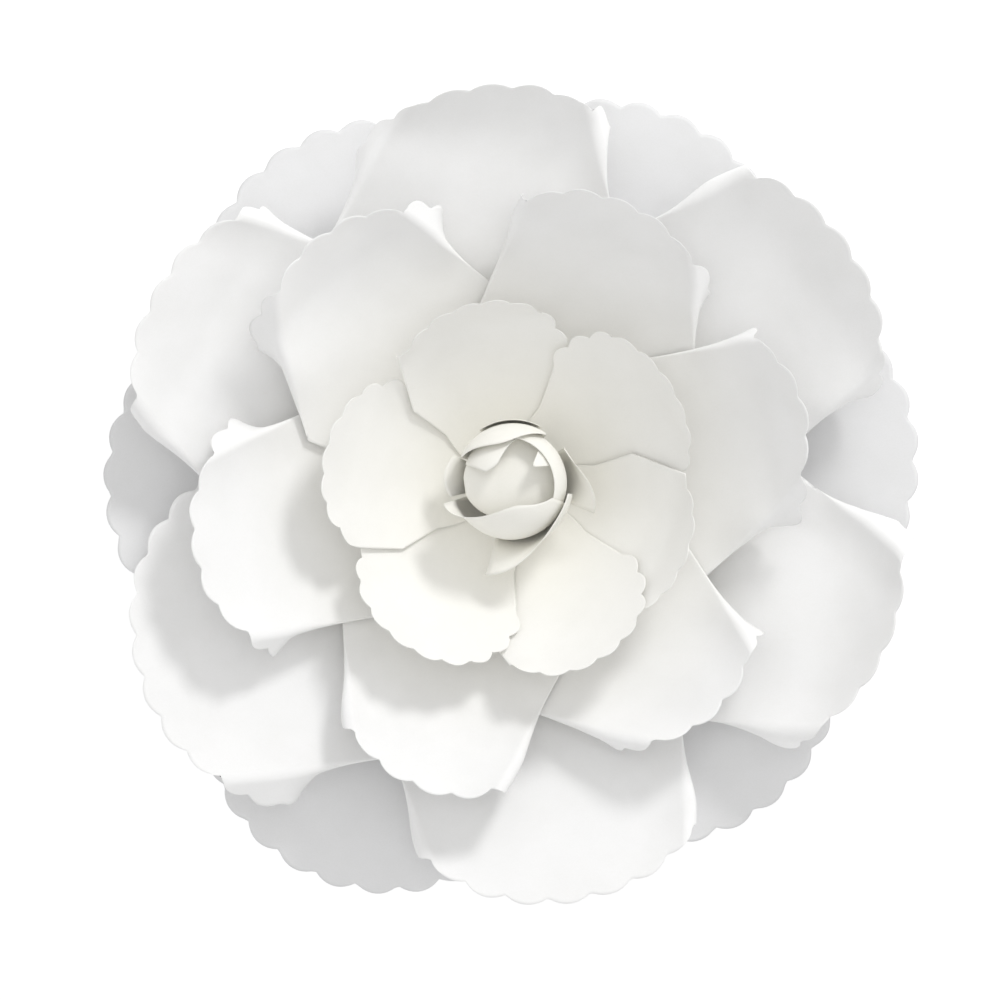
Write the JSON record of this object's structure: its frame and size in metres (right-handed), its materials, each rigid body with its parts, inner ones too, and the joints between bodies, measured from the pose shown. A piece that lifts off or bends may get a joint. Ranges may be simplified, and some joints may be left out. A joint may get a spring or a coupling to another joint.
{
  "type": "giant paper flower",
  "caption": "Large white paper flower with rings of rolled, scallop-edged petals around a rose bud, glued to a flat round backing card.",
  "frame": {"origin": "centre of the backing card's rear face, where the flower meets the wall or the table", "axes": "+Z out of the flower's face, +Y to the top of the flower as it hangs, +X to its right as seen from the front"},
  "size_m": [0.5086, 0.5017, 0.1094],
  "materials": {
    "petal_paper": "matt white craft card with a fine fibre grain",
    "bud_paper": "matt warm white craft paper",
    "backing_card": "matt pressed board"
  },
  "bodies": {
    "root": {"backing_card": "backing_card", "bud_core_1": "bud_paper", "bud_core_2": "bud_paper", "bud_core_3": "bud_paper", "bud_inner_petal_1": "bud_paper", "bud_inner_petal_2": "bud_paper", "bud_inner_petal_3": "bud_paper", "bud_outer_petal_1": "bud_paper", "bud_outer_petal_2": "bud_paper", "bud_outer_petal_3": "bud_paper", "bud_outer_petal_4": "bud_paper", "back_petal_1": "petal_paper", "back_petal_2": "petal_paper", "back_petal_3": "petal_paper", "back_petal_4": "petal_paper", "back_petal_5": "petal_paper", "back_petal_6": "petal_paper", "large_petal_1": "petal_paper", "large_petal_2": "petal_paper", "large_petal_3": "petal_paper", "large_petal_4": "petal_paper", "large_petal_5": "petal_paper", "large_petal_6": "petal_paper", "medium_petal_1": "petal_paper", "medium_petal_2": "petal_paper", "medium_petal_3": "petal_paper", "medium_petal_4": "petal_paper", "medium_petal_5": "petal_paper", "medium_petal_6": "petal_paper", "small_petal_1": "petal_paper", "small_petal_2": "petal_paper", "small_petal_3": "petal_paper", "small_petal_4": "petal_paper", "small_petal_5": "petal_paper", "small_petal_6": "petal_paper"}
  },
  "joints": []
}
